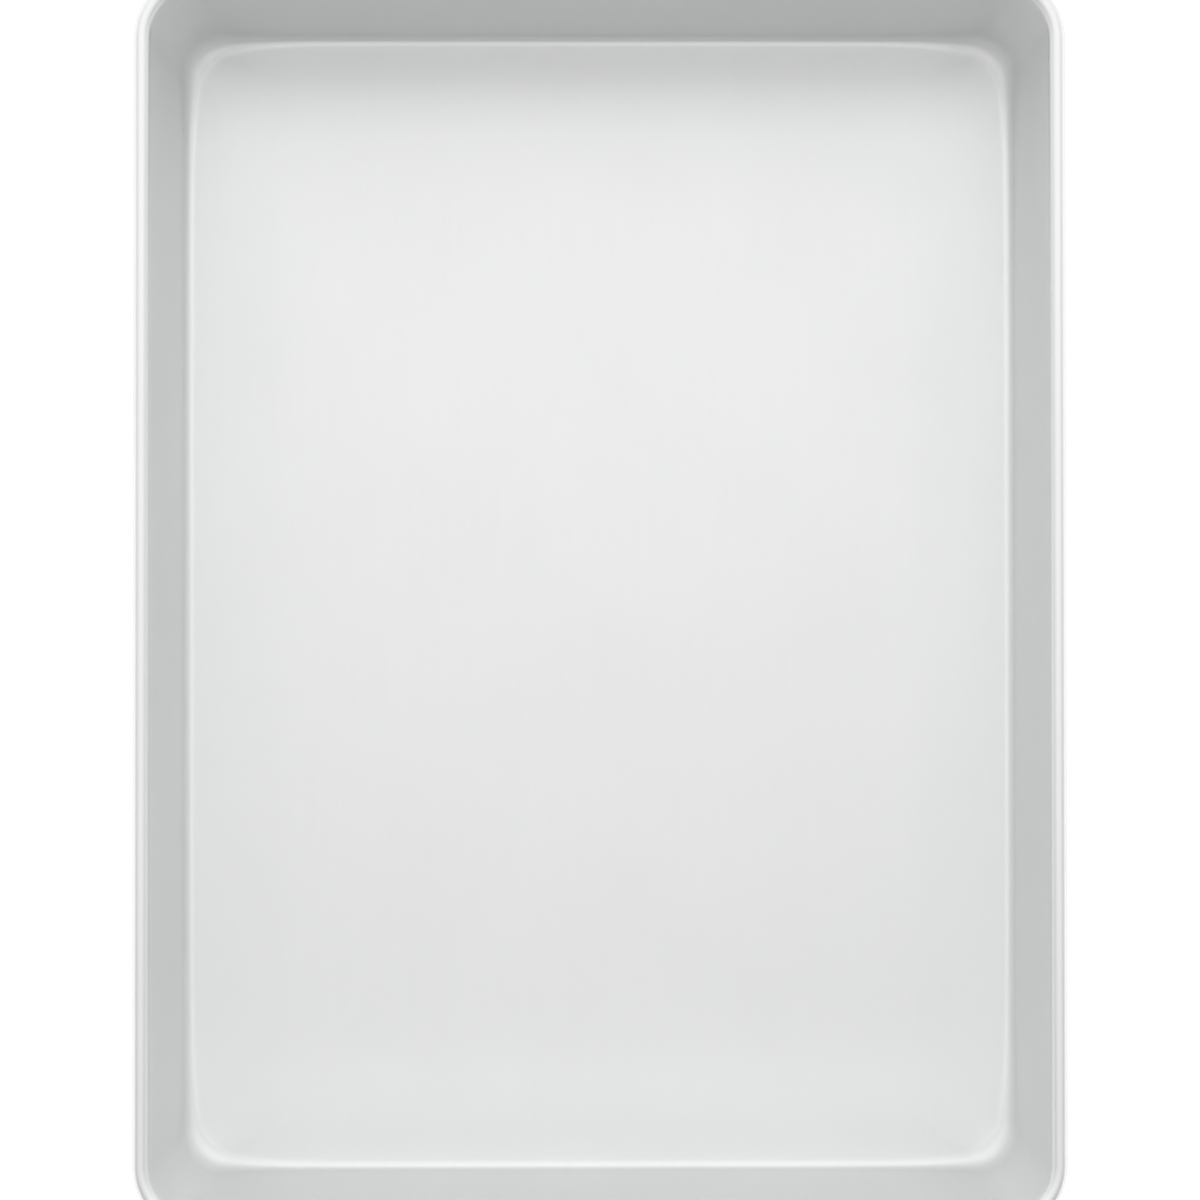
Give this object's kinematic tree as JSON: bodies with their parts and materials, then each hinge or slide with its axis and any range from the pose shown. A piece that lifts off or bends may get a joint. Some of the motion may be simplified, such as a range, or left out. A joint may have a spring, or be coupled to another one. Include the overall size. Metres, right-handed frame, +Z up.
{
  "type": "rectangular cake pan",
  "caption": "Open rectangular cake pan drawn from aluminium sheet, with a flat floor, nearly upright walls, rounded corners and a rim curled round a steel wire.",
  "frame": {"origin": "middle of the floor's underside, on the surface that the pan stands on", "axes": "+Z up out of the pan, +Y along the long walls, +X along the short walls; +Y is the top of the picture"},
  "size_m": [0.2904, 0.392, 0.0518],
  "materials": {
    "anodised_aluminium": "fine matte, clear anodised",
    "plated_steel": "bright zinc plated, drawn wire"
  },
  "bodies": {
    "root": {"pan_shell": "anodised_aluminium", "rim_wire": "plated_steel"}
  },
  "joints": []
}
